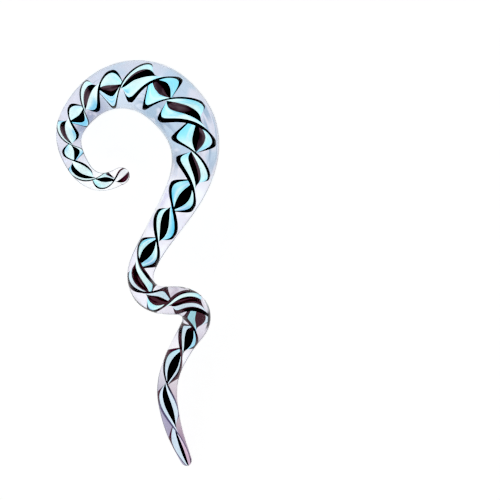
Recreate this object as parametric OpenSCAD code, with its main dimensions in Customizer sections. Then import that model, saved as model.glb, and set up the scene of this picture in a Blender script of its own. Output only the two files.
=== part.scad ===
// Spiral ear taper: a clear glass rod bent into a hook, a slanting stem, a small corkscrew and a
// thin tail, with a flat striped ribbon of coloured glass twisted inside it from tip to tip.
// It lies on its side, +Z up, the hook's top towards +Y and the tail's tip towards -Y.
// Everything is swept along one smooth guide line, and every section is scaled by the rod's radius.

/* [Taper] */
// Length from the top of the hook to the tip of the tail
taper_l = 74; // [60:1:90]
// Thickness of the rod against the guide table, 1 gives 10 mm at the thickest place
rod_thickness = 1; // [0.8:0.05:1]
// Rounding of the two tips, as a share of the radius there
tip_rounding = 1.1; // [0.6:0.05:1.2]

/* [Ribbon] */
// Width of the striped ribbon against the ribbon table
ribbon_width = 1; // [0.85:0.01:1.05]
// Thickness of the ribbon against the ribbon table
ribbon_thickness = 1; // [0.8:0.05:1.2]
// Bow of the ribbon's middle off the line between its edges, as a share of the rod's radius
ribbon_bow = 0.14; // [0:0.01:0.16]
// Width of the dark centre stripe against the ribbon table
centre_width = 1; // [0.8:0.05:1.05]
// Width of the two dark edge stripes against the ribbon table
edge_width = 1; // [0.8:0.05:1.05]
// Clearance between the stripes and the glass, as a share of the rod's radius
gap_share = 0.012; // [0.01:0.001:0.015]

/* [Facets] */
// Sections along the rod between the tips
sections = 144; // [120:6:160]
// Sides of the clear rod
rod_sides = 16; // [12:4:20]

/* [Hidden] */

// Columns of the guide table
X = 0;
Y = 1;
LIFT = 2;
DIAMETER = 3;
TURNS = 4;

// Guide table, from the hook's tip to the tail's tip, in millimetres at a length of 74.
// X and Y place the smooth line, which passes a little inside each row on a bend. LIFT is the
// height of the rod's underside, DIAMETER is the rod's, and TURNS counts the ribbon's half turns.
GUIDE = [
    [-1.6, 16.8, 0, 3.2, 0.30],
    [-3.8, 15.4, 0, 3.2, 0.95],
    [-6.6, 14.5, 0, 3.3, 1.65],
    [-9.4, 15.7, 0, 3.6, 2.30],
    [-11.2, 18.4, 0, 4.1, 2.80],
    [-12.5, 21.3, 0, 4.3, 3.95],
    [-12.4, 24.5, 0, 5.1, 4.55],
    [-10.8, 27.3, 0, 5.8, 5.58],
    [-8.1, 30.2, 0, 6.7, 6.53],
    [-4.5, 32.1, 0, 8.0, 7.52],
    [-0.3, 32.5, 0, 9.2, 8.40],
    [3.8, 31.4, 0, 10.1, 9.42],
    [7.2, 28.5, 0, 10.1, 10.40],
    [9.9, 24.9, 0, 9.8, 11.15],
    [10.8, 20.4, 0, 8.7, 12.00],
    [10.0, 15.9, 0, 7.7, 12.90],
    [8.1, 11.8, 0, 6.9, 13.60],
    [5.6, 7.8, 0, 6.1, 14.40],
    [3.1, 3.9, 0, 5.2, 15.15],
    [1.1, 0.4, 0, 5.0, 15.82],
    [0.3, -2.4, 0.4, 4.8, 16.30],
    [1.5, -5.8, 2.4, 4.8, 16.82],
    [4.8, -6.8, 3.9, 5.1, 17.76],
    [8.0, -6.4, 4.0, 5.1, 18.36],
    [10.6, -7.8, 2.6, 5.3, 19.10],
    [11.0, -10.8, 0.8, 5.2, 19.98],
    [9.1, -13.2, 0, 4.4, 20.62],
    [7.4, -16.2, 0, 4.0, 21.15],
    [5.8, -19.5, 0, 3.7, 21.70],
    [5.2, -23.3, 0, 3.7, 22.20],
    [5.8, -27.0, 0, 3.4, 22.70],
    [6.7, -30.7, 0, 3.0, 23.15],
    [8.2, -34.2, 0, 2.4, 23.50],
    [9.3, -36.7, 0, 1.8, 23.85]
];
LAST = len(GUIDE) - 1;
GUIDE_L = 74;
SCALE = taper_l / GUIDE_L;

// Columns of the ribbon table
PLACE = 0;
HALF = 1;
OFFSET = 2;
SHIFT = 3;
SWEEP = 4;
THICK = 5;
LEAN = 6;
STRIPE = 7;
EDGE_ONE = 8;
EDGE_TWO = 9;

// Ribbon table. PLACE is a place in rows of the guide table. HALF is the ribbon's half width and
// OFFSET moves it along its own width. SHIFT moves its middle towards the outside of the hook, and
// SWEEP draws its outer side forward along the rod. THICK is its half thickness. These are shares
// of the rod's radius. LEAN is the centre stripe's middle, towards the second edge, and STRIPE is
// its half width. EDGE_ONE and EDGE_TWO are the widths of the two edge stripes. These are shares of
// the ribbon's half width.
RIBBON = [
    [0, 0.64, 0.06, 0.10, 0, 0.06, 0.45, 0.34, 0.16, 0.10],
    [2, 0.62, 0.08, 0, 0, 0.06, 0.12, 0.28, 0.17, 0.11],
    [3.3, 0.62, 0.10, -0.04, 0, 0.055, 0.42, 0.27, 0.21, 0.10],
    [4.5, 0.62, 0.10, 0, 0, 0.055, 0.34, 0.27, 0.21, 0.10],
    [5.5, 0.60, 0.10, 0.05, 0, 0.055, 0.36, 0.27, 0.22, 0.10],
    [7, 0.60, 0.10, 0.06, 0, 0.055, 0.28, 0.27, 0.22, 0.10],
    [8.4, 0.58, 0.06, 0.08, 0, 0.06, 0.18, 0.28, 0.22, 0.11],
    [9.4, 0.57, 0.06, 0.12, 0.1, 0.06, 0.18, 0.28, 0.20, 0.13],
    [10, 0.55, 0.09, 0.16, 0.2, 0.055, 0.15, 0.29, 0.18, 0.14],
    [11, 0.57, -0.02, 0.15, 0.32, 0.055, 0.05, 0.26, 0.27, 0.17],
    [12, 0.56, 0.01, 0.13, 0.3, 0.055, -0.10, 0.29, 0.17, 0.15],
    [13.4, 0.56, 0, 0.11, 0.3, 0.06, -0.06, 0.30, 0.27, 0.18],
    [14.5, 0.55, 0, 0.08, 0.3, 0.065, -0.04, 0.31, 0.21, 0.16],
    [16, 0.57, 0, 0.04, 0.12, 0.075, -0.06, 0.33, 0.24, 0.19],
    [18, 0.62, 0, -0.06, 0, 0.08, -0.04, 0.37, 0.22, 0.20],
    [19.5, 0.67, -0.03, -0.18, 0, 0.08, 0, 0.34, 0.20, 0.15],
    [21, 0.67, 0.03, -0.12, 0.5, 0.08, 0, 0.32, 0.24, 0.14],
    [22.5, 0.69, 0, -0.02, -0.1, 0.08, 0, 0.32, 0.22, 0.17],
    [23.7, 0.64, 0.05, 0.18, 0.5, 0.08, 0, 0.33, 0.22, 0.17],
    [25.2, 0.67, -0.04, 0.18, 0.1, 0.08, 0, 0.40, 0.22, 0.18],
    [26.7, 0.68, 0, 0.06, 0, 0.075, -0.04, 0.42, 0.22, 0.14],
    [30, 0.68, 0, 0.04, 0, 0.06, -0.06, 0.38, 0.18, 0.14],
    [31.4, 0.66, 0.04, 0.02, 0, 0.055, -0.10, 0.24, 0.14, 0.18],
    [33, 0.62, 0.08, 0, 0, 0.055, -0.13, 0.24, 0.14, 0.18]
];
function ribbon_value(u, column) = lookup(u, [for (r = RIBBON) [r[PLACE], r[column]]]);

// Share of the rounding that is cut off flat at each tip, where the ribbon shows
TIP_FLAT = 0.12;
// Extra sections close to each tip, in rows of the table
TIP_STEPS = [0, 0.05, 0.12, 0.22];
STATIONS = concat(
    TIP_STEPS,
    [for (k = [2 : sections - 2]) k * LAST / sections],
    [for (k = [len(TIP_STEPS) - 1 : -1 : 0]) LAST - TIP_STEPS[k]]
);
STATION_LAST = len(STATIONS) - 1;

// Cubic B-spline through the table, with one mirrored row past each end so that it starts and
// ends on the first and last rows
function row(i) =
    i < 0 ? 2 * GUIDE[0] - GUIDE[1] :
    i > LAST ? 2 * GUIDE[LAST] - GUIDE[LAST - 1] :
    GUIDE[i];
function row_below(u) = min(floor(u), LAST - 1);
function guide(u) =
    let (i = row_below(u), t = u - i)
    (pow(1 - t, 3) * row(i - 1)
        + (3 * pow(t, 3) - 6 * t * t + 4) * row(i)
        + (-3 * pow(t, 3) + 3 * t * t + 3 * t + 1) * row(i + 1)
        + pow(t, 3) * row(i + 2)) / 6;
function guide_slope(u) =
    let (i = row_below(u), t = u - i)
    (-pow(1 - t, 2) * row(i - 1)
        + (3 * t * t - 4 * t) * row(i)
        + (-3 * t * t + 2 * t + 1) * row(i + 1)
        + t * t * row(i + 2)) / 2;

// The rod at a place on the guide: radius, centre, and the direction in which it runs
function full_radius(g) = g[DIAMETER] / 2 * rod_thickness * SCALE;
function centre(g) = [g[X] * SCALE, g[Y] * SCALE, full_radius(g) + g[LIFT] * SCALE];
function direction(s) =
    let (d = [s[X], s[Y], s[DIAMETER] / 2 * rod_thickness + s[LIFT]])
    d / norm(d);

// Rounded tips: the radius follows a quarter circle that starts TIP_FLAT into its length
function tip_distance(c) = min(norm(c - centre(GUIDE[0])), norm(c - centre(GUIDE[LAST])));
function tip_factor(c, radius) =
    let (q = tip_distance(c) / (tip_rounding * radius) + TIP_FLAT)
    q < 1 ? sqrt(1 - pow(1 - q, 2)) : 1;

// What each section is made from. The ribbon turns left-handed, and it stands on edge wherever
// its half turns are a whole number. VALUES is the ribbon table there, and BORDERS are the borders
// of the five stripes, as shares of the ribbon's half width.
CENTRE = 0;
SIDE = 1;
UP = 2;
RADIUS = 3;
ALONG = 4;
ACROSS = 5;
THROUGH = 6;
VALUES = 7;
BORDERS = 8;
function borders_at(values) =
    let (
        lean = values[LEAN],
        half = values[STRIPE] * centre_width,
        one = values[EDGE_ONE] * edge_width,
        two = values[EDGE_TWO] * edge_width
    )
    [-1, one - 1, lean - half, lean + half, 1 - two, 1];
LAST_BORDER = 5;
function frame_at(u) =
    let (
        g = guide(u),
        c = centre(g),
        along = direction(guide_slope(u)),
        side = cross([0, 0, 1], along) / norm(cross([0, 0, 1], along)),
        up = cross(along, side),
        radius = full_radius(g) * tip_factor(c, full_radius(g)),
        angle = 90 - 180 * g[TURNS],
        across = cos(angle) * side + sin(angle) * up,
        values = [for (column = [PLACE : EDGE_TWO]) ribbon_value(u, column)]
    )
    [c, side, up, radius, along, across, cross(along, across), values, borders_at(values)];
FRAMES = [for (u = STATIONS) frame_at(u)];

// Point k of a rod's section, and a point of the ribbon's. The latter is given by its border, a
// clearance beyond that in radii, and its level: 1 on the upper face, -1 on the lower face, with
// the clearance beyond the face. The section is an arch, and the points further towards the
// outside of the hook lie further along the rod.
function rod_point(f, k) =
    let (a = 360 * k / rod_sides)
    f[CENTRE] + f[RADIUS] * (cos(a) * f[SIDE] + sin(a) * f[UP]);
function ribbon_offset(f, p) =
    let (
        v = f[VALUES],
        half = v[HALF] * ribbon_width,
        share = f[BORDERS][p[0]] + p[1] / half,
        arch = 1 - share * share,
        height = p[2] * (v[THICK] * ribbon_thickness + p[3]) + ribbon_bow * arch
    )
    (v[OFFSET] + share * half) * f[ACROSS] + height * f[THROUGH] + v[SHIFT] * arch * f[SIDE];
function ribbon_point(f, p) =
    let (offset = ribbon_offset(f, p), outward = offset * f[SIDE])
    f[CENTRE] + f[RADIUS] * (offset + f[VALUES][SWEEP] * outward * (1 + outward) * f[ALONG]);

// Section of the slot in the glass: a point at each border, above and then below, with the
// clearance all round
ABOVE = 1;
BELOW = -1;
function beyond_end(k) = k == 0 ? -gap_share : k == LAST_BORDER ? gap_share : 0;
function slot_corner(k, level) = [k, beyond_end(k), level, gap_share];
SLOT = concat(
    [for (k = [LAST_BORDER : -1 : 0]) slot_corner(k, ABOVE)],
    [for (k = [0 : LAST_BORDER]) slot_corner(k, BELOW)]
);

// Section of one stripe, between two neighbouring borders. Two stripes share the clearance at the
// border between them.
function inset(k) = k == 0 || k == LAST_BORDER ? 0 : gap_share / 2;
function stripe_section(k) =
    let (low = inset(k), high = -inset(k + 1))
    [[k + 1, high, ABOVE, 0], [k, low, ABOVE, 0], [k, low, BELOW, 0], [k + 1, high, BELOW, 0]];

// Triangles of a tube of rings with n points each, numbered from first. Where the tube's last side
// faces another stripe, its quads are split along their other diagonal, as that stripe's are.
function quad_faces(a, b, c, d, other) =
    other ? [[a, c, b], [b, c, d]] : [[a, c, d], [a, d, b]];
function tube_faces(n, first, last_faces_stripe = false) = [
    for (r = [0 : STATION_LAST - 1], k = [0 : n - 1])
        let (a = first + r * n + k, b = first + r * n + (k + 1) % n)
        each quad_faces(a, b, a + n, b + n, last_faces_stripe && k == n - 1)
];
function flipped(faces) = [for (f = faces) [f[2], f[1], f[0]]];
function fan(n, first) = [for (k = [1 : n - 2]) [first, first + k, first + k + 1]];

// Flat ring at a tip, between the rod's ring and the slot's. Both are walked round together, from
// one end of the ribbon over its upper side and back under it, and each step takes the side whose
// next point comes first. How far round a point lies is read from its place across the ribbon: 0
// at the end where the walk starts, 2 at the other end and 4 after the whole round.
function round_by(x, above) = above ? 1 - x : 3 + x;
function rod_round(angle) = round_by(cos(angle), angle % 360 < 180) + 4 * floor(angle / 360);
function slot_round(xs, j) =
    let (n = len(SLOT), k = j % n)
    round_by(xs[k], k < n / 2) + (j < n ? 0 : 4);
function ring_faces(outer, inner, xs, start, lead, i = 0, j = 0) =
    i == rod_sides && j == len(SLOT) ? [] :
    let (
        next_round = rod_round(lead + (i + 1) * 360 / rod_sides),
        outer_next = i < rod_sides && (j == len(SLOT) || next_round < slot_round(xs, j + 1)),
        o = outer + (start + i) % rod_sides,
        p = inner + j % len(SLOT),
        third = outer_next ? outer + (start + i + 1) % rod_sides : inner + (j + 1) % len(SLOT)
    )
    concat(
        [[o, third, p]],
        ring_faces(outer, inner, xs, start, lead, outer_next ? i + 1 : i, outer_next ? j : j + 1)
    );
function tip_ring(station, slot_first) =
    let (
        f = FRAMES[station],
        xs = [for (p = SLOT) ribbon_offset(f, p) * f[ACROSS]],
        angle = (atan2(f[ACROSS] * f[UP], f[ACROSS] * f[SIDE]) + 360) % 360,
        turned = angle * rod_sides / 360,
        start = ceil(turned)
    )
    ring_faces(station * rod_sides, slot_first + station * len(SLOT), xs, start % rod_sides,
        (start - turned) * 360 / rod_sides);

module clear_rod() {
    slot_first = len(FRAMES) * rod_sides;
    points = concat(
        [for (f = FRAMES, k = [0 : rod_sides - 1]) rod_point(f, k)],
        [for (f = FRAMES, p = SLOT) ribbon_point(f, p)]
    );
    faces = concat(
        tube_faces(rod_sides, 0),
        flipped(tube_faces(len(SLOT), slot_first)),
        tip_ring(0, slot_first),
        flipped(tip_ring(STATION_LAST, slot_first))
    );
    color([0.86, 0.89, 0.95, 0.35]) polyhedron(points = points, faces = faces);
}

module stripe(k, tint) {
    section = stripe_section(k);
    n = len(section);
    points = [for (f = FRAMES, p = section) ribbon_point(f, p)];
    sides = tube_faces(n, 0, k + 1 < LAST_BORDER);
    faces = concat(sides, fan(n, 0), flipped(fan(n, STATION_LAST * n)));
    color(tint) polyhedron(points = points, faces = faces);
}

DARK = [0.13, 0.09, 0.13];
ICE_BLUE = [0.55, 0.87, 0.96];
module edge_one() { stripe(0, DARK); }
module band_one() { stripe(1, ICE_BLUE); }
module centre_stripe() { stripe(2, DARK); }
module band_two() { stripe(3, ICE_BLUE); }
module edge_two() { stripe(4, DARK); }

clear_rod();
centre_stripe();
band_one();
band_two();
edge_one();
edge_two();
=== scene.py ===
"""The looks of a spiral ear taper: clear worked glass round a twisted, striped ribbon of coloured glass.

Every piece is a section carried along one guide line, the same line as the construction's, in metres.
"""

import math

import bmesh
import bpy
import numpy as np
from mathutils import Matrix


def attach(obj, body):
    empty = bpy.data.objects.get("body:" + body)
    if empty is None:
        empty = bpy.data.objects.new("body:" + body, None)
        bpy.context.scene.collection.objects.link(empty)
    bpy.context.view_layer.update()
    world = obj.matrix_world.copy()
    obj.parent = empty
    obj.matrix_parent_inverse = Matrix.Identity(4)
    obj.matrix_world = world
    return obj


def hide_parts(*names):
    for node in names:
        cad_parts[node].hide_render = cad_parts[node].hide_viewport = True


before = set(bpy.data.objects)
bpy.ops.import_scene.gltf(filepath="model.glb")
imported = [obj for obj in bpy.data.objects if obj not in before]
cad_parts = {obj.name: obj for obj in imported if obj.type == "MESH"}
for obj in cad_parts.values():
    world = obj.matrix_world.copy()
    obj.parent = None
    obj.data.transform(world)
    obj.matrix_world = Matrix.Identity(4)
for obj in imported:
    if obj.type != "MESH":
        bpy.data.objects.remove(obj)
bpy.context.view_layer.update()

# Guide table, from the hook's tip to the tail's tip, with its rows a few millimetres apart: place of
# the smooth line (mm), height of the rod's underside (mm), rod's diameter (mm) and the ribbon's
# half turns so far
X, Y, LIFT, DIAMETER, TURNS = range(5)
GUIDE = np.array([
    [-1.6, 16.8, 0, 3.2, 0.30],
    [-3.8, 15.4, 0, 3.2, 0.95],
    [-6.6, 14.5, 0, 3.3, 1.65],
    [-9.4, 15.7, 0, 3.6, 2.30],
    [-11.2, 18.4, 0, 4.1, 2.80],
    [-12.5, 21.3, 0, 4.3, 3.95],
    [-12.4, 24.5, 0, 5.1, 4.55],
    [-10.8, 27.3, 0, 5.8, 5.58],
    [-8.1, 30.2, 0, 6.7, 6.53],
    [-4.5, 32.1, 0, 8.0, 7.52],
    [-0.3, 32.5, 0, 9.2, 8.40],
    [3.8, 31.4, 0, 10.1, 9.42],
    [7.2, 28.5, 0, 10.1, 10.40],
    [9.9, 24.9, 0, 9.8, 11.15],
    [10.8, 20.4, 0, 8.7, 12.00],
    [10.0, 15.9, 0, 7.7, 12.90],
    [8.1, 11.8, 0, 6.9, 13.60],
    [5.6, 7.8, 0, 6.1, 14.40],
    [3.1, 3.9, 0, 5.2, 15.15],
    [1.1, 0.4, 0, 5.0, 15.82],
    [0.3, -2.4, 0.4, 4.8, 16.30],
    [1.5, -5.8, 2.4, 4.8, 16.82],
    [4.8, -6.8, 3.9, 5.1, 17.76],
    [8.0, -6.4, 4.0, 5.1, 18.36],
    [10.6, -7.8, 2.6, 5.3, 19.10],
    [11.0, -10.8, 0.8, 5.2, 19.98],
    [9.1, -13.2, 0, 4.4, 20.62],
    [7.4, -16.2, 0, 4.0, 21.15],
    [5.8, -19.5, 0, 3.7, 21.70],
    [5.2, -23.3, 0, 3.7, 22.20],
    [5.8, -27.0, 0, 3.4, 22.70],
    [6.7, -30.7, 0, 3.0, 23.15],
    [8.2, -34.2, 0, 2.4, 23.50],
    [9.3, -36.7, 0, 1.8, 23.85],
])
MM = 0.001
LAST_ROW = len(GUIDE) - 1

# Ribbon table: place in rows of the guide table; half width, offset along its own width, shift of
# its middle towards the outside of the hook, sweep of its outer side along the rod and half
# thickness, as shares of the rod's radius; lean of the centre stripe towards the second edge, its
# half width and the widths of the two edges, as shares of the ribbon's half width
PLACE, HALF, OFFSET, SHIFT, SWEEP, THICK, LEAN, STRIPE, EDGE_ONE, EDGE_TWO = range(10)
RIBBON = np.array([
    [0, 0.64, 0.06, 0.10, 0, 0.06, 0.45, 0.34, 0.16, 0.10],
    [2, 0.62, 0.08, 0, 0, 0.06, 0.12, 0.28, 0.17, 0.11],
    [3.3, 0.62, 0.10, -0.04, 0, 0.055, 0.42, 0.27, 0.21, 0.10],
    [4.5, 0.62, 0.10, 0, 0, 0.055, 0.34, 0.27, 0.21, 0.10],
    [5.5, 0.60, 0.10, 0.05, 0, 0.055, 0.36, 0.27, 0.22, 0.10],
    [7, 0.60, 0.10, 0.06, 0, 0.055, 0.28, 0.27, 0.22, 0.10],
    [8.4, 0.58, 0.06, 0.08, 0, 0.06, 0.18, 0.28, 0.22, 0.11],
    [9.4, 0.57, 0.06, 0.12, 0.1, 0.06, 0.18, 0.28, 0.20, 0.13],
    [10, 0.55, 0.09, 0.16, 0.2, 0.055, 0.15, 0.29, 0.18, 0.14],
    [11, 0.57, -0.02, 0.15, 0.32, 0.055, 0.05, 0.26, 0.27, 0.17],
    [12, 0.56, 0.01, 0.13, 0.3, 0.055, -0.10, 0.29, 0.17, 0.15],
    [13.4, 0.56, 0, 0.11, 0.3, 0.06, -0.06, 0.30, 0.27, 0.18],
    [14.5, 0.55, 0, 0.08, 0.3, 0.065, -0.04, 0.31, 0.21, 0.16],
    [16, 0.57, 0, 0.04, 0.12, 0.075, -0.06, 0.33, 0.24, 0.19],
    [18, 0.62, 0, -0.06, 0, 0.08, -0.04, 0.37, 0.22, 0.20],
    [19.5, 0.67, -0.03, -0.18, 0, 0.08, 0, 0.34, 0.20, 0.15],
    [21, 0.67, 0.03, -0.12, 0.5, 0.08, 0, 0.32, 0.24, 0.14],
    [22.5, 0.69, 0, -0.02, -0.1, 0.08, 0, 0.32, 0.22, 0.17],
    [23.7, 0.64, 0.05, 0.18, 0.5, 0.08, 0, 0.33, 0.22, 0.17],
    [25.2, 0.67, -0.04, 0.18, 0.1, 0.08, 0, 0.40, 0.22, 0.18],
    [26.7, 0.68, 0, 0.06, 0, 0.075, -0.04, 0.42, 0.22, 0.14],
    [30, 0.68, 0, 0.04, 0, 0.06, -0.06, 0.38, 0.18, 0.14],
    [31.4, 0.66, 0.04, 0.02, 0, 0.055, -0.10, 0.24, 0.14, 0.18],
    [33, 0.62, 0.08, 0, 0, 0.055, -0.13, 0.24, 0.14, 0.18],
])

# Height of the ribbon's arch as a share of the rod's radius, and the inset of a stripe from each of
# its borders as a share of the ribbon's half width
RIBBON_BOW = 0.14
STRIPE_INSET = 0.004

# Length of the rounding at each tip, in radii of the rod
TIP_LENGTH = 1.1

# Fineness of the meshes: stations along the rod, with more of them over the last rows at each tip,
# sides of the rod, points across a face of a stripe, and stations by which a stripe stops short
STATIONS = 1300
TIP_STATIONS = 26
TIP_ROWS = 0.7
ROD_SIDES = 64
STRIPE_POINTS = 9
STRIPE_TRIM = 3
STRIPE_SMOOTH_ANGLE = 40

# The photo's view: a 500 px frame of 0.182 mm pixels, seen from straight above; lens and sensor in
# mm, how far the camera sees in m, and the level that the view shows as black
PIXEL = 0.182 * MM
FRAME_PIXELS = 500
FRAME_CENTRE = (20.44 * MM, 2.48 * MM)
LENS = 250
SENSOR = 36
CAMERA_REACH = 10
BLACK_LEVEL = 0.02


def cubic_along(u):
    """Rows of the guide table at the places u, and their slopes, on a uniform cubic B-spline with
    one mirrored row past each end: each point is a weighted mean of four neighbouring rows."""
    rows = np.vstack([2 * GUIDE[0] - GUIDE[1], GUIDE, 2 * GUIDE[-1] - GUIDE[-2]])
    i = np.minimum(np.floor(u).astype(int), LAST_ROW - 1)
    t = (u - i)[:, None]
    before, here, after, beyond = rows[i], rows[i + 1], rows[i + 2], rows[i + 3]
    value = ((1 - t) ** 3 * before + (3 * t**3 - 6 * t**2 + 4) * here
             + (-3 * t**3 + 3 * t**2 + 3 * t + 1) * after + t**3 * beyond) / 6
    slope = (-(1 - t) ** 2 * before + (3 * t**2 - 4 * t) * here
             + (-3 * t**2 + 2 * t + 1) * after + t**2 * beyond) / 2
    return value, slope


def unit(vectors):
    """Rows of vectors, each divided by its length."""
    return vectors / np.linalg.norm(vectors, axis=1, keepdims=True)


def tip_places():
    """Extra places close to a tip, in rows of the table, closer together towards the tip itself."""
    return TIP_ROWS * np.linspace(0, 1, TIP_STATIONS) ** 2


class Rod:
    """Frames along the rod: centre = (x, y, radius + lift), side = Z x along, up = along x side, and
    the ribbon's direction across = side turned by 90 - 180 * turns degrees towards up. The radius
    falls to nothing at both tips on a quarter ellipse TIP_LENGTH radii long."""

    def __init__(self):
        u = np.linspace(0, LAST_ROW, STATIONS)
        u = np.unique(np.concatenate([u, tip_places(), LAST_ROW - tip_places()]))
        value, slope = cubic_along(u)
        full = value[:, DIAMETER] / 2 * MM
        self.centre = np.column_stack([value[:, X] * MM, value[:, Y] * MM, full + value[:, LIFT] * MM])
        along = unit(np.column_stack([slope[:, X], slope[:, Y], slope[:, DIAMETER] / 2 + slope[:, LIFT]]))
        self.side = unit(np.cross([0.0, 0.0, 1.0], along))
        self.up = np.cross(along, self.side)
        self.along = along
        steps = np.linalg.norm(np.diff(self.centre, axis=0), axis=1)
        self.travel = np.concatenate([[0], np.cumsum(steps)])
        to_tip = np.minimum(self.travel, self.travel[-1] - self.travel)
        q = np.clip(to_tip / (TIP_LENGTH * full), 0, 1)
        self.radius = full * np.sqrt(1 - (1 - q) ** 2)
        self.full = full
        self.turns = value[:, TURNS]
        angle = np.radians(90 - 180 * self.turns)[:, None]
        self.across = np.cos(angle) * self.side + np.sin(angle) * self.up
        self.through = np.cross(along, self.across)
        self.ribbon = np.column_stack(
            [np.interp(u, RIBBON[:, PLACE], RIBBON[:, column]) for column in range(RIBBON.shape[1])]
        )


ROD = Rod()


def ring_grid(points):
    """Vertices and faces for a stack of closed rings: points is stations x ring points x 3. Each quad
    joins two neighbouring rings, and a fan from the ring's mean closes each end."""
    stations, count = points.shape[:2]
    corner = np.arange(stations * count).reshape(stations, count)
    here, beside = corner[:-1], np.roll(corner[:-1], -1, axis=1)
    ahead, ahead_beside = corner[1:], np.roll(corner[1:], -1, axis=1)
    quads = np.stack([here, ahead, ahead_beside, beside], axis=-1).reshape(-1, 4)
    start_pole, end_pole = stations * count, stations * count + 1
    start = np.stack([corner[0], np.roll(corner[0], -1), np.full(count, start_pole)], axis=-1)
    end = np.stack([np.roll(corner[-1], -1), corner[-1], np.full(count, end_pole)], axis=-1)
    return with_poles(points), quads.tolist() + start.tolist() + end.tolist()


def with_poles(values):
    """Values of a stack of rings as rows, with the means of the first and last rings added."""
    return np.vstack([values.reshape(-1, 3), values[0].mean(axis=0), values[-1].mean(axis=0)])


def make_object(name, points, faces, material, marks, smooth_angle=None):
    """A mesh object at the origin, with outward faces and one material. The marks are vectors for
    each vertex that the material reads by name."""
    mesh = bpy.data.meshes.new(name)
    mesh.from_pydata(points.tolist(), [], faces)
    mesh.update()
    for mark, values in marks.items():
        layer = mesh.attributes.new(mark, "FLOAT_VECTOR", "POINT")
        layer.data.foreach_set("vector", np.ascontiguousarray(values, dtype=np.float32).ravel())
    shape = bmesh.new()
    shape.from_mesh(mesh)
    bmesh.ops.recalc_face_normals(shape, faces=shape.faces)
    shape.to_mesh(mesh)
    shape.free()
    mesh.shade_smooth()
    if smooth_angle is not None:
        mesh.set_sharp_from_angle(angle=math.radians(smooth_angle))
    mesh.materials.append(material)
    piece = bpy.data.objects.new(name, mesh)
    bpy.context.scene.collection.objects.link(piece)
    return piece


def marks_for(place, keep, t):
    """The two marks of a piece. Place says where each point lies, and build how it is made there:
    the rod's full radius in mm, the ribbon's half turns so far and the place t across a stripe."""
    shape = place.shape[:2]
    radius = np.broadcast_to(ROD.full[keep, None] / MM, shape)
    turns = np.broadcast_to(ROD.turns[keep, None], shape)
    build = np.stack([radius, turns, np.broadcast_to(t, shape)], axis=2)
    return {"place": with_poles(place), "build": with_poles(build)}


def rod_skin():
    """Outer skin of the clear rod: centre + radius * (cos a * side + sin a * up), a once round. Its
    place is the distance along the rod in mm, cos a and sin a."""
    inner = slice(1, -1)
    a = np.linspace(0, 2 * np.pi, ROD_SIDES, endpoint=False)[None, :, None]
    centre, side, up = (rows[inner, None, :] for rows in (ROD.centre, ROD.side, ROD.up))
    outward = np.cos(a) * side + np.sin(a) * up
    points = centre + ROD.radius[inner, None, None] * outward
    travel = np.broadcast_to(ROD.travel[inner, None] / MM, outward.shape[:2])
    turn = np.broadcast_to(a[:, :, 0], travel.shape)
    place = np.stack([travel, np.cos(turn), np.sin(turn)], axis=2)
    return (*ring_grid(points), marks_for(place, inner, 0))


def borders():
    """Borders of the five stripes at each station, as shares of the ribbon's half width."""
    lean, stripe, one, two = (ROD.ribbon[:, column] for column in (LEAN, STRIPE, EDGE_ONE, EDGE_TWO))
    end = np.ones_like(lean)
    return np.column_stack([-end, one - end, lean - stripe, lean + stripe, end - two, end])


def stripe_sweep(low, high):
    """One stripe between two borders of the ribbon's bowed section, which is swept along the rod:
    reach * across + (bow * arch +- thick) * through + shift * arch * side, with arch = 1 - share
    squared, and then sweep * x * (1 + x) along the rod, where x is how far out the point lies. Its
    place is the distance along the rod in mm, the place across the ribbon and the height above the
    rod's axis, both in radii."""
    keep = slice(STRIPE_TRIM, -STRIPE_TRIM)
    t = np.concatenate([np.linspace(1, 0, STRIPE_POINTS), np.linspace(0, 1, STRIPE_POINTS)])
    above = np.repeat([1, -1], STRIPE_POINTS)[None, :, None]
    low, high = low[keep, None] + STRIPE_INSET, high[keep, None] - STRIPE_INSET
    share = low + (high - low) * t
    arch = (1 - share**2)[:, :, None]
    ribbon = ROD.ribbon[keep, :, None]
    reach = (ribbon[:, OFFSET] + share * ribbon[:, HALF])[:, :, None]
    across, through, side, along = (
        rows[keep, None, :] for rows in (ROD.across, ROD.through, ROD.side, ROD.along)
    )
    height = above * ribbon[:, THICK, None] + RIBBON_BOW * arch
    offset = reach * across + height * through
    offset = offset + ribbon[:, SHIFT, None] * arch * side
    outward = (offset * side).sum(axis=2, keepdims=True)
    lift = (offset * ROD.up[keep, None, :]).sum(axis=2)
    offset = offset + ribbon[:, SWEEP, None] * outward * (1 + outward) * along
    points = ROD.centre[keep, None, :] + ROD.radius[keep, None, None] * offset
    travel = np.broadcast_to(ROD.travel[keep, None] / MM, share.shape)
    place = np.stack([travel, share * ribbon[:, HALF], lift], axis=2)
    return (*ring_grid(points), marks_for(place, keep, 2 * t - 1))


SHADER = "Principled BSDF"

# Places of a Mix node's two sources and of its result, by the kind of value that it mixes
MIX_SOCKETS = {"FLOAT": (2, 3, 0), "RGBA": (6, 7, 2)}


def new_material(name, finish):
    """A material whose shader has these values on its sockets."""
    material = bpy.data.materials.new(name)
    material.use_nodes = True
    for socket, value in finish.items():
        material.node_tree.nodes[SHADER].inputs[socket].default_value = value
    return material


def linked(tree, kind, values, **links):
    """A node of this kind with its settings and sockets filled in by name."""
    node = tree.nodes.new(kind)
    for key, value in values.items():
        if hasattr(node, key):
            setattr(node, key, value)
        else:
            node.inputs[key].default_value = value
    for key, source in links.items():
        tree.links.new(source, node.inputs[key])
    return node


def fill(tree, socket, value):
    """Gives a socket its value: a number, a colour or the output of a node."""
    if isinstance(value, bpy.types.NodeSocket):
        tree.links.new(value, socket)
    else:
        socket.default_value = (*value, 1) if isinstance(value, tuple) else value


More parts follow.
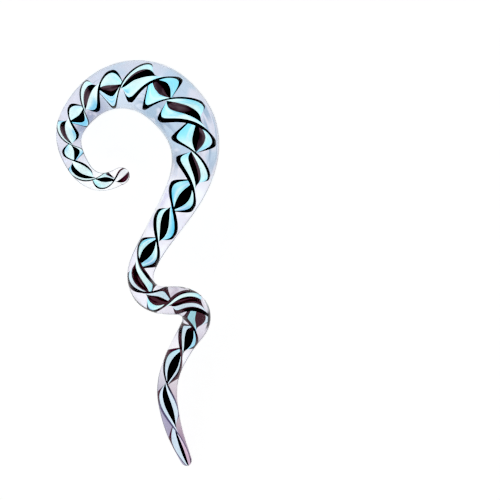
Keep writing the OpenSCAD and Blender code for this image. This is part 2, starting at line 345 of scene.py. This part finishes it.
def stretched_noise_group():
    """Shared effect: soft noise in the marked place, with its own stretch along each component, as a
    value from 0 to 1 between two limits."""
    group = bpy.data.node_groups.new("stretched_noise", "ShaderNodeTree")
    face = group.interface
    face.new_socket(name="Stretch", in_out="INPUT", socket_type="NodeSocketVector")
    for name, start in (("Detail", 2.0), ("Twist", 0.0), ("From", 0.3), ("To", 0.7)):
        socket = face.new_socket(name=name, in_out="INPUT", socket_type="NodeSocketFloat")
        socket.default_value = start
    face.new_socket(name="Value", in_out="OUTPUT", socket_type="NodeSocketFloat")
    given = group.nodes.new("NodeGroupInput").outputs
    result = group.nodes.new("NodeGroupOutput").inputs
    place = linked(group, "ShaderNodeAttribute", {"attribute_name": "place"})
    spread = linked(group, "ShaderNodeVectorMath", {"operation": "MULTIPLY"})
    group.links.new(place.outputs["Vector"], spread.inputs[0])
    group.links.new(given["Stretch"], spread.inputs[1])
    noise = linked(group, "ShaderNodeTexNoise", {"Scale": 1.0, "Roughness": 0.5},
                   Vector=spread.outputs["Vector"], Detail=given["Detail"], Distortion=given["Twist"])
    limits = {"interpolation_type": "SMOOTHSTEP"}
    ranged = linked(group, "ShaderNodeMapRange", limits, Value=noise.outputs["Fac"])
    group.links.new(given["From"], ranged.inputs["From Min"])
    group.links.new(given["To"], ranged.inputs["From Max"])
    group.links.new(ranged.outputs["Result"], result["Value"])
    return group


NOISE = stretched_noise_group()


class Glass:
    """A glass whose colour is built up tint by tint. Its tints read the marks of the pieces: travel
    is the distance along the rod from the hook's tip in mm, across and lift are places in radii of
    the rod, radius is the rod's in mm, turns are the ribbon's half turns so far, and span is the
    place across a stripe, from -1 to 1. Left is the left of the way along the rod, so it is the
    outer side of the hook, and the right side of the stem and the tail in the photo."""

    def __init__(self, name, finish, colour):
        self.material = new_material(name, finish)
        self.tree = self.material.node_tree
        self.colour = colour
        self.travel, self.across, self.lift = self.mark("place")
        self.radius, self.turns, self.span = self.mark("build")

    def mark(self, name):
        """The three components of a mark that the mesh carries."""
        attribute = linked(self.tree, "ShaderNodeAttribute", {"attribute_name": name})
        return linked(self.tree, "ShaderNodeSeparateXYZ", {}, Vector=attribute.outputs["Vector"]).outputs

    def compute(self, operation, *values):
        """The result of a Math node, each value a number or the output of a node."""
        node = linked(self.tree, "ShaderNodeMath", {"operation": operation})
        for socket, value in zip(node.inputs, values):
            fill(self.tree, socket, value)
        return node.outputs["Value"]

    def product(self, result, *others):
        """The product of one or more values."""
        for value in others:
            result = self.compute("MULTIPLY", result, value)
        return result

    def greater(self, first, second):
        """The greater of two values."""
        return self.compute("MAXIMUM", first, second)

    def less(self, first, second):
        """The first value less the second."""
        return self.compute("SUBTRACT", first, second)

    def ranged(self, value, low, high, start=0.0, end=1.0):
        """The value carried smoothly from low..high to start..end."""
        limits = {"interpolation_type": "SMOOTHSTEP", "From Min": low, "From Max": high,
                  "To Min": start, "To Max": end}
        return linked(self.tree, "ShaderNodeMapRange", limits, Value=value).outputs["Result"]

    def scaled(self, share, start, end):
        """A share carried smoothly from 0..1 to start..end."""
        return self.ranged(share, 0, 1, start, end)

    def zone(self, value, rise, fall):
        """1 between two pairs of limits, and smoothly down to 0 outside them."""
        return self.product(self.ranged(value, *rise), self.ranged(value, fall[1], fall[0]))

    def along(self, rise, fall):
        """1 on a stretch of the rod, which begins within one pair of distances and ends in another."""
        return self.zone(self.travel, rise, fall)

    def past(self, low, high):
        """0 before one distance along the rod, and 1 past another."""
        return self.ranged(self.travel, low, high)

    def before(self, low, high):
        """1 before one distance along the rod, and 0 past another."""
        return self.ranged(self.travel, high, low)

    def noise(self, stretch, limits, detail=2.0, twist=0.0):
        """Stretched noise from its shared group: 0 below the limits and 1 above them."""
        node = self.tree.nodes.new("ShaderNodeGroup")
        node.node_tree = NOISE
        low, high = limits
        sockets = {"Stretch": stretch, "Detail": detail, "Twist": twist, "From": low, "To": high}
        for name, value in sockets.items():
            node.inputs[name].default_value = value
        return node.outputs["Value"]

    def mix_kind(self, kind, share, first, second):
        """A mix of two values of one kind, each given plainly or as the output of a node."""
        node = linked(self.tree, "ShaderNodeMix", {"data_type": kind})
        one, two, result = MIX_SOCKETS[kind]
        for place, value in ((0, share), (one, first), (two, second)):
            fill(self.tree, node.inputs[place], value)
        return node.outputs[result]

    def mix_numbers(self, share, first, second):
        """A mix of two numbers."""
        return self.mix_kind("FLOAT", share, first, second)

    def mix(self, share, first, second):
        """A mix of two colours."""
        return self.mix_kind("RGBA", share, first, second)

    def tint(self, colour, *shares):
        """Lays a colour over the tints so far, as much as the product of the shares."""
        self.colour = self.mix(self.product(*shares), self.colour, colour)

    def feed(self, socket, colour):
        """Leads a colour to a socket of the shader."""
        self.tree.links.new(colour, self.tree.nodes[SHADER].inputs[socket])


# Clear glass: values on its shader, and its tints from the hook's tip to the tail's
CLEAR_FINISH = {
    "Transmission Weight": 1,
    "IOR": 1.47,
    "Roughness": 0,
    "Specular Tint": (0.05, 0.05, 0.06, 1),
}
# The tints are the glass's own colour together with painted reflections of the surroundings
HOOK_TIP_MIST = (0.93, 0.92, 0.95)
HOOK_GREY = (0.54, 0.53, 0.67)
HOOK_INNER_INDIGO = (0.16, 0.185, 0.32)
HOOK_INNER_SKY = (0.50, 0.58, 0.73)
HOOK_INNER_SLATE = (0.20, 0.32, 0.48)
HOOK_INNER_HAZE = (0.36, 0.44, 0.58)
HOOK_INNER_SMOKE = (0.23, 0.28, 0.38)
HOOK_INNER_GLEAM = (0.50, 0.59, 0.74)
HOOK_OUTER_GREY = (0.54, 0.54, 0.68)
HOOK_OUTER_SLATE = (0.42, 0.47, 0.62)
PALE_REFLECTED_WISPS = (0.74, 0.71, 0.84)
BLUE_REFLECTED_WISPS = (0.30, 0.43, 0.60)
DEEP_REFLECTED_WISPS = (0.17, 0.27, 0.43)
STEM_CLEAR = (0.87, 0.84, 0.93)
STEM_VIOLET = (0.58, 0.53, 0.74)
CORKSCREW_LAVENDER = (0.72, 0.68, 0.82)
BEND_LAVENDER = (0.58, 0.53, 0.66)
BEND_MAUVE = (0.36, 0.30, 0.41)
TAIL_INDIGO = (0.18, 0.155, 0.28)
TAIL_MAUVE = (0.36, 0.25, 0.32)
TAIL_TIP_PLUM = (0.15, 0.08, 0.14)
UPPER_CLEAR = (0.99, 0.99, 1.0)
# Painted shade along the rim, for the dark edge of thick glass
OUTLINE_SHADE_GREY = (0.16, 0.17, 0.21)
STRAND_MAROON = (0.0016, 0.0005, 0.001)


def tint_clear_hook(glass, left):
    """Blue-grey after the hook's tip and nearly clear in the stem. Between them the inner side is darker
    and changes from bend to bend, and painted reflections lie along the rod as pale, blue and deep wisps,
    with a painted gleam on the inner side near the top of the hook."""
    glass.tint(HOOK_GREY, glass.past(5, 14))
    glass.tint(STEM_CLEAR, glass.past(51, 58))
    inner = glass.mix(glass.past(24, 30), HOOK_INNER_INDIGO, HOOK_INNER_SKY)
    inner = glass.mix(glass.past(34, 38), inner, HOOK_INNER_SLATE)
    inner = glass.mix(glass.past(41, 44), inner, HOOK_INNER_HAZE)
    inner = glass.mix(glass.past(46, 50), inner, HOOK_INNER_SMOKE)
    outer = glass.mix(glass.along((21, 25), (35, 39)), HOOK_OUTER_GREY, HOOK_OUTER_SLATE)
    inner_stretch = glass.along((14, 19), (51, 58))
    outer_stretch = glass.along((21, 29), (51, 58))
    hook = glass.mix_numbers(left, inner_stretch, outer_stretch)
    glass.tint(glass.mix(left, inner, outer), hook)
    # Painted reflections of the ribbons, as wisps along the hook
    glass.tint(PALE_REFLECTED_WISPS, glass.noise((0.28, 5.0, 2.0), (0.52, 0.68), twist=0.2), hook)
    glass.tint(BLUE_REFLECTED_WISPS, glass.noise((0.2, 3.0, 1.0), (0.52, 0.64), detail=1.0, twist=0.1), hook)
    glass.tint(DEEP_REFLECTED_WISPS, glass.noise((0.16, 18.0, 3.0), (0.52, 0.66), detail=3.0, twist=0.3), hook)
    # A painted gleam on the inner side near the top of the hook
    most = 0.75
    inner_side = glass.less(most, glass.product(left, most))
    glass.tint(HOOK_INNER_GLEAM, inner_side, glass.along((28, 30), (33, 36)))


def tint_clear_lower_parts(glass, left):
    """Violet clouds in the stem, lavender in the corkscrew, clouded mauve in its right bend, and in
    the tail indigo on the right and mauve on the left, plum towards the tip."""
    clouds = glass.noise((0.22, 4.0, 1.0), (0.45, 0.62), twist=0.2)
    stem = glass.along((54, 60), (66, 72))
    glass.tint(STEM_VIOLET, stem, glass.scaled(left, 1.0, 0.5), clouds)
    corkscrew = glass.along((68, 74), (94, 99))
    glass.tint(CORKSCREW_LAVENDER, corkscrew, glass.scaled(left, 0.8, 0.5))
    right_bend = glass.along((80, 84), (95, 99))
    bend_tint = glass.mix(left, BEND_LAVENDER, BEND_MAUVE)
    glass.tint(bend_tint, glass.scaled(clouds, 0.6, 1.0), right_bend)
    left_tint = glass.mix(glass.past(111, 116), TAIL_MAUVE, TAIL_TIP_PLUM)
    glass.tint(glass.mix(left, TAIL_INDIGO, left_tint), glass.past(99, 109))


def outline(glass):
    """A broken line of painted shade along the outline, set by the angle of view, for the dark rim of
    thick glass: faint round the top of the hook and absent on the stem's right. As a share of the rod it
    is wider where the rod is thin."""
    facing = linked(glass.tree, "ShaderNodeLayerWeight", {"Blend": 0.5}).outputs["Facing"]
    start = glass.ranged(glass.radius, 1.5, 5.0, 0.52, 0.7)
    line = glass.ranged(glass.less(facing, start), 0.0, 0.16)
    parts = glass.noise((0.12, 0.5, 0.5), (0.38, 0.56), detail=1.0)
    faint = glass.scaled(glass.along((20, 28), (48, 55)), 1.0, 0.25)
    stem_right = glass.product(glass.along((54, 59), (66, 70)), glass.ranged(glass.across, 0.2, -0.2))
    shown = glass.product(faint, glass.less(1.0, stem_right))
    return glass.product(line, parts, shown)


def clear_glass():
    """Clear glass: blue-grey in the hook and darker on its inner side, almost colourless in the stem,
    lavender in the corkscrew and mauve in the tail, with a painted grey shade along the outline, and with
    a maroon strand on the outer side of the corkscrew's right bend. Its tints are the glass's own colour
    together with painted reflections of the surroundings. The tints lie on the underside of the rod, which
    the ribbon hides, and that lens brings all of them close to the middle, so the sides are told apart
    within a seventh of the radius. The outline and the strand lie on the whole skin."""
    glass = Glass("clear_glass", CLEAR_FINISH, HOOK_TIP_MIST)
    left = glass.ranged(glass.across, -0.14, 0.14)
    tint_clear_hook(glass, left)
    tint_clear_lower_parts(glass, left)
    under = glass.ranged(glass.lift, 0.25, -0.35)
    glass.colour = glass.mix(under, UPPER_CLEAR, glass.colour)
    # Painted shade along the outline
    glass.tint(OUTLINE_SHADE_GREY, outline(glass))
    outer_side = glass.ranged(glass.across, 0.73, 0.80)
    upper_half = glass.ranged(glass.lift, -0.2, 0.0)
    glass.tint(STRAND_MAROON, outer_side, upper_half, glass.along((89.6, 90.6), (92.2, 93)))
    glass.feed("Base Color", glass.colour)
    return glass.material


class RibbonGlass(Glass):
    """An opaque glass of the ribbon, whose first band lies where across is negative. It gives out some of
    its colour from within as a painted glow, which stands in for the light that falls on it through the
    rod. Its tints also read these values: reach is the distance from the ribbon's middle in radii, and
    edges is 1 near the ribbon's edges; lobe is the half turns so far, counted from 0 again after every
    second one, and part is how much of a half turn is done; leftward is the place across the ribbon,
    positive on the left, and tail_left is 1 on the left where the tail begins; bold is a coarse noise."""

    def __init__(self, name, glow, colour):
        finish = {"Roughness": 0.4, "Specular IOR Level": 0, "Emission Strength": glow}
        super().__init__(name, finish, colour)
        self.reach = self.compute("ABSOLUTE", self.across)
        self.edges = self.ranged(self.reach, 0.40, 0.46)
        self.lobe = self.compute("MODULO", self.turns, 2)
        self.part = self.compute("MODULO", self.turns, 1)
        self.leftward = self.turned_back()
        tail_start = self.along((96, 98), (104, 106))
        self.tail_left = self.product(self.ranged(self.leftward, 0.0, 0.2), tail_start)
        self.bold = self.noise((0.32, 5.0, 1.2), (0.40, 0.58), detail=1.0)

    def turned_back(self):
        """The place across the ribbon, with its sign changed in every second lobe, because the ribbon
        turns over at each crossing."""
        turned = self.less(1.0, self.product(self.compute("FLOOR", self.lobe), 2.0))
        return self.product(self.across, turned)


# Dark glass: how strongly it gives out its colour as painted glow, how near to black its surface is, and
# its tints
DARK_GLOW = 1.32
DARK_DEPTH = 0.9
BLACK = (0.0012, 0.001, 0.0012)
# A painted sheen: brown that stands for a reflection of the surroundings on the dark stripe
HOOK_SHEEN_BROWN = (0.078, 0.053, 0.064)
HOOK_TIP_MAROON = (0.05, 0.018, 0.025)
CORKSCREW_MAROON = (0.056, 0.028, 0.035)
EDGE_BLACK = (0.008, 0.005, 0.007)
EDGE_BROWN = (0.050, 0.027, 0.033)
TAIL_EDGE_PURPLE = (0.075, 0.065, 0.13)
TAIL_EDGE_BROWN = (0.085, 0.050, 0.060)
TAIL_EDGE_WINE = (0.055, 0.014, 0.026)


def sheen(glass):
    """Where a brown sheen is painted on the dark centre stripe in the hook, as a painted reflection of the
    surroundings: over the first part of each lobe with an even number, then on the inner half of one odd
    lobe and on the outer half of the last two. At the top an odd lobe is brown but for its inner part, and
    the even lobe after it only on its outer part."""
    even = glass.product(glass.zone(glass.lobe, (0.08, 0.2), (0.45, 0.8)), glass.before(48, 50))
    not_outer = glass.ranged(glass.leftward, 0.17, 0.09)
    even = glass.less(even, glass.product(glass.along((30.8, 31.2), (35.5, 36)), not_outer))
    odd = glass.product(glass.ranged(glass.lobe, 1.05, 1.2), glass.past(31, 36))
    late = glass.greater(odd, glass.past(50, 51.5))
    half = glass.product(glass.leftward, glass.ranged(glass.travel, 41, 44, -1.0, 1.0))
    halves = glass.product(glass.ranged(half, -0.03, 0.09), late)
    top = glass.product(glass.along((27, 27.8), (30, 31)), glass.ranged(glass.leftward, -0.17, -0.08))
    centre_stripe = glass.product(glass.along((14, 16), (54, 57)), glass.ranged(glass.reach, 0.44, 0.41))
    return glass.product(glass.greater(even, glass.greater(halves, top)), centre_stripe)


def dark_glass():
    """Opaque black glass: a painted brown sheen in parts of the hook, maroon at the hook's tip and in the
    corkscrew, and along the ribbon's edges brown in the corkscrew and where the tail begins, wine-red on
    the right at the start of each half turn of the tail, and purple further down."""
    glass = RibbonGlass("dark_glass", DARK_GLOW, BLACK)
    patches = glass.noise((0.35, 6.0, 0.8), (0.3, 0.6))
    # Painted sheen: a reflection laid over the black as brown
    glass.tint(HOOK_SHEEN_BROWN, sheen(glass), glass.scaled(patches, 0.4, 1.0))
    corkscrew = glass.along((71, 75), (92.4, 95))
    spots = glass.scaled(glass.bold, 0.25, 1.0)
    right_bend = glass.along((88, 90), (93, 94.5))
    glass.tint(CORKSCREW_MAROON, corkscrew, glass.greater(spots, right_bend))
    brown_edges = glass.product(glass.edges, glass.along((72, 76), (103, 107)))
    glass.tint(EDGE_BLACK, brown_edges)
    glass.tint(EDGE_BROWN, brown_edges, glass.bold)
    glass.tint(HOOK_TIP_MAROON, glass.before(1.2, 2.6))
    glass.tint(TAIL_EDGE_PURPLE, glass.edges, glass.along((105, 109), (118, 121)))
    glass.tint(TAIL_EDGE_BROWN, glass.edges, glass.tail_left)
    right = glass.ranged(glass.leftward, 0.0, -0.2)
    turn_start = glass.zone(glass.part, (0.0, 0.04), (0.35, 0.5))
    glass.tint(TAIL_EDGE_WINE, right, glass.past(93, 95), turn_start, glass.edges)
    # Its colour is given out as painted glow, over a nearly black surface
    glass.feed("Emission Color", glass.colour)
    glass.feed("Base Color", glass.mix(DARK_DEPTH, glass.colour, BLACK))
    return glass.material


# Blue glass: how strongly it gives out its colour as painted glow, and its tints
BLUE_GLOW = 0.745
# Lit and shaded copies of the ice: painted light where the ribbon lies high in the rod, painted shade
# where it lies deep
LIT_ICE = (0.70, 0.935, 0.94)
SHADED_ICE = (0.40, 0.87, 0.93)
SHADED_DEEP_BLUE = (0.20, 0.70, 0.91)
LAVENDER_BLUE = (0.29, 0.56, 0.82)
MILK = (0.76, 0.96, 0.95)
STREAK_WHITE = (0.86, 0.97, 0.97)
HOOK_TIP_WHITE = (0.92, 0.94, 0.97)
HOOK_START_LIT_ICE = (0.78, 0.94, 0.95)
HOOK_INNER_BLUE = (0.25, 0.63, 0.85)
HOOK_OUTER_BLUE = (0.32, 0.62, 0.86)
HOOK_PATCH_BLUE = (0.30, 0.76, 0.91)
STEM_BLUE = (0.17, 0.68, 0.94)
CORKSCREW_GREY = (0.61, 0.71, 0.81)
BEND_TEAL = (0.36, 0.64, 0.70)
BEND_BLUE = (0.38, 0.72, 0.89)
TAIL_ICE = (0.68, 0.82, 0.92)
TAIL_TIP_PINK = (0.68, 0.51, 0.64)
TIP_STRIPE_MAROON = (0.03, 0.012, 0.017)
RIM_BLACK = (0.010, 0.006, 0.008)
RIM_MAROON = (0.062, 0.035, 0.043)


def tint_blue_by_depth(glass):
    """Bluer where the ribbon lies deep in the rod, as painted shade, with lavender there, milky near the
    ribbon's middle, and paler where it lies high in the first half of the hook, as painted light."""
    glass.tint(SHADED_ICE, glass.ranged(glass.lift, 0.3, -0.35))
    glass.tint(SHADED_DEEP_BLUE, glass.ranged(glass.lift, -0.28, -0.6))
    deep = glass.ranged(glass.lift, 0.05, -0.35)
    glass.tint(LAVENDER_BLUE, glass.noise((0.3, 1.6, 0.6), (0.5, 0.64)), deep)
    near_middle = glass.ranged(glass.reach, 0.5, 0.2, 0.3, 0.8)
    glass.tint(MILK, glass.noise((0.24, 2.4, 0.5), (0.46, 0.66)), near_middle)
    high = glass.ranged(glass.lift, -0.4, 0.0, 0.0, 0.7)
    glass.tint(HOOK_START_LIT_ICE, glass.along((4, 9), (25, 34)), high)


def tint_blue_hook_and_stem(glass):
    """A deeper blue in places: at the inner ends of the first half turns of the hook, on the second
    band in the stem, at the outer ends of the half turns before it, and in patches on the hook's
    thick part."""
    long_end = glass.zone(glass.part, (0.05, 0.2), (0.55, 0.8))
    short_end = glass.zone(glass.part, (0.0, 0.1), (0.2, 0.42))
    long_ends = glass.product(glass.along((15, 18), (30, 31)), long_end)
    short_ends = glass.product(glass.along((30, 31), (34, 38)), short_end)
    inner_side = glass.ranged(glass.leftward, -0.10, -0.38)
    glass.tint(HOOK_INNER_BLUE, glass.greater(long_ends, short_ends), inner_side)
    glass.tint(STEM_BLUE, glass.along((57, 60), (68, 72)), glass.ranged(glass.across, 0.1, 0.45))
    outer_side = glass.ranged(glass.leftward, 0.30, 0.44)
    glass.tint(HOOK_OUTER_BLUE, glass.along((44, 46), (49, 51)), outer_side)
    patches = glass.noise((0.35, 2.2, 0.7), (0.38, 0.6))
    glass.tint(HOOK_PATCH_BLUE, patches, glass.along((34, 37), (46, 49)))


def tint_blue_ends_and_corkscrew(glass):
    """The first band grey in the corkscrew and pink at the tail's tip, the second band teal in the
    corkscrew's right bend and blue below it, and both pale in the tail and at the hook's tip."""
    corkscrew = glass.along((72, 78), (94, 100))
    glass.tint(CORKSCREW_GREY, corkscrew, glass.ranged(glass.across, 0.2, -0.3), 0.8)
    glass.tint(TAIL_ICE, glass.past(94, 104))
    glass.tint(TAIL_TIP_PINK, glass.past(112, 118), glass.ranged(glass.across, 0.02, -0.02))
    glass.tint(HOOK_TIP_WHITE, glass.before(2.0, 6.0))
    glass.tint(BEND_TEAL, glass.along((88.5, 90), (92.2, 93)), glass.ranged(glass.across, 0.15, 0.3))
    glass.tint(BEND_BLUE, glass.along((92.2, 93), (97, 99)), glass.ranged(glass.across, 0.15, 0.35))


def tip_stripe(glass):
    """Where the bands are dark at the hook's tip: the first band beside the centre stripe, and after
    it the second band, in a stroke along the second edge."""
    border = glass.ranged(glass.span, 0.62, 0.82)
    beside = glass.product(border, glass.ranged(glass.across, 0.3, 0.2), glass.before(2.9, 3.3))
    stroke = glass.product(glass.ranged(glass.across, 0.4, 0.45), glass.along((2.9, 3.3), (4.0, 4.6)))
    return glass.greater(beside, stroke)


def dark_rim(glass):
    """Where a band is dark along the edge stripe beside it, in the corkscrew and the upper tail: over
    the last part of its width, and over more of it on the left where the tail begins."""
    border = glass.compute("ABSOLUTE", glass.span)
    start = glass.scaled(glass.tail_left, 0.56, 0.0)
    rim = glass.ranged(glass.less(border, start), 0.0, 0.12)
    return glass.product(rim, glass.edges, glass.along((72, 76), (104, 108)))


def blue_glass():
    """Milky ice-blue glass: almost white where the ribbon lies high in the rod and blue where it lies
    deep, as painted light and shade, with pale streaks, greyer in the corkscrew, teal and blue in its
    right bend, and pink on one side of the tail's tip. It is dark beside the stripes at the hook's tip, in
    the corkscrew and in the upper tail."""
    glass = RibbonGlass("blue_glass", BLUE_GLOW, LIT_ICE)
    tint_blue_by_depth(glass)
    tint_blue_hook_and_stem(glass)
    glass.tint(STREAK_WHITE, glass.noise((0.12, 9.0, 0.4), (0.45, 0.85)))
    tint_blue_ends_and_corkscrew(glass)
    glass.tint(TIP_STRIPE_MAROON, tip_stripe(glass))
    glass.tint(glass.mix(glass.bold, RIM_BLACK, RIM_MAROON), dark_rim(glass))
    glass.feed("Base Color", glass.colour)
    # Its colour is also given out as painted glow
    glass.feed("Emission Color", glass.colour)
    return glass.material


MATERIALS = {"clear_glass": clear_glass(), "dark_glass": dark_glass(), "blue_glass": blue_glass()}

# Stripes from the ribbon's first edge to its second: node of the construction, and slot
STRIPES = [
    ("edge_one", "dark_glass"),
    ("band_one", "blue_glass"),
    ("centre_stripe", "dark_glass"),
    ("band_two", "blue_glass"),
    ("edge_two", "dark_glass"),
]


def dress(node, slot, form, smooth_angle=None):
    """The piece that stands for a node of the construction, from the vertices, faces and marks of a
    form. It takes its finish from a slot."""
    points, faces, marks = form
    piece = make_object(f"{node}_glass", points, faces, MATERIALS[slot], marks, smooth_angle)
    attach(piece, "root")
    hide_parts(node)


dress("clear_rod", "clear_glass", rod_skin())
BORDERS = borders().T
for (node, slot), low, high in zip(STRIPES, BORDERS[:-1], BORDERS[1:]):
    dress(node, slot, stripe_sweep(low, high), STRIPE_SMOOTH_ANGLE)


# Floor: half its width in metres, and white paper that gives out light, so that it stays white
FLOOR_HALF = 0.4
PAPER_FINISH = {
    "Base Color": (0.5, 0.5, 0.5, 1),
    "Roughness": 0.9,
    "Specular IOR Level": 0,
    "Emission Color": (1, 1, 1, 1),
    "Emission Strength": 0.92,
}


def floor():
    """A plain white floor under the taper."""
    mesh = bpy.data.meshes.new("floor")
    corners = [(x * FLOOR_HALF, y * FLOOR_HALF, 0) for x, y in ((-1, -1), (1, -1), (1, 1), (-1, 1))]
    mesh.from_pydata(corners, [], [(0, 1, 2, 3)])
    mesh.materials.append(new_material("floor_paper", PAPER_FINISH))
    piece = bpy.data.objects.new("floor", mesh)
    bpy.context.scene.collection.objects.link(piece)


# Light from around: levels by the height of its direction, from 0 at the horizon to 1 overhead, and
# strength by its place from the picture's right to its left
LIGHT_LEVELS = [(0.0, 0.35), (0.12, 1.0), (0.19, 1.0), (0.28, 0.4), (0.5, 0.35), (0.64, 0.03), (1.0, 0.02)]
LIGHT_STRENGTH = {"From Min": 0.6, "From Max": -0.8, "To Min": 0.9, "To Max": 1.5}


def surroundings():
    """Light from a bright low band round the taper and a half-bright one above it, stronger on the
    left, and almost none from overhead, so that the glass over the ribbon mirrors almost nothing
    into the camera."""
    world = bpy.data.worlds.new("studio")
    world.use_nodes = True
    tree = world.node_tree
    background = tree.nodes["Background"]
    coordinates = tree.nodes.new("ShaderNodeTexCoord")
    split = linked(tree, "ShaderNodeSeparateXYZ", {}, Vector=coordinates.outputs["Generated"])
    band = linked(tree, "ShaderNodeValToRGB", {}, Fac=split.outputs["Z"])
    band.color_ramp.interpolation = "EASE"
    stops = band.color_ramp.elements
    while len(stops) < len(LIGHT_LEVELS):
        stops.new(0.5)
    for stop, (place, level) in zip(stops, LIGHT_LEVELS):
        stop.position = place
        stop.color = (level, level, level, 1)
    strength = linked(tree, "ShaderNodeMapRange", LIGHT_STRENGTH, Value=split.outputs["X"])
    tree.links.new(band.outputs["Color"], background.inputs["Color"])
    tree.links.new(strength.outputs["Result"], background.inputs["Strength"])
    bpy.context.scene.world = world


def camera():
    """A straight-down camera that frames the photo's own field."""
    scene = bpy.context.scene
    scene.view_settings.view_transform = "Standard"
    scene.view_settings.use_curve_mapping = True
    scene.view_settings.curve_mapping.black_level = (BLACK_LEVEL, BLACK_LEVEL, BLACK_LEVEL)
    data = bpy.data.cameras.new("camera")
    data.lens = LENS
    data.sensor_width = SENSOR
    data.clip_end = CAMERA_REACH
    view = bpy.data.objects.new("camera", data)
    view.location = (*FRAME_CENTRE, FRAME_PIXELS * PIXEL * LENS / SENSOR)
    scene.collection.objects.link(view)
    scene.camera = view


floor()
surroundings()
camera()
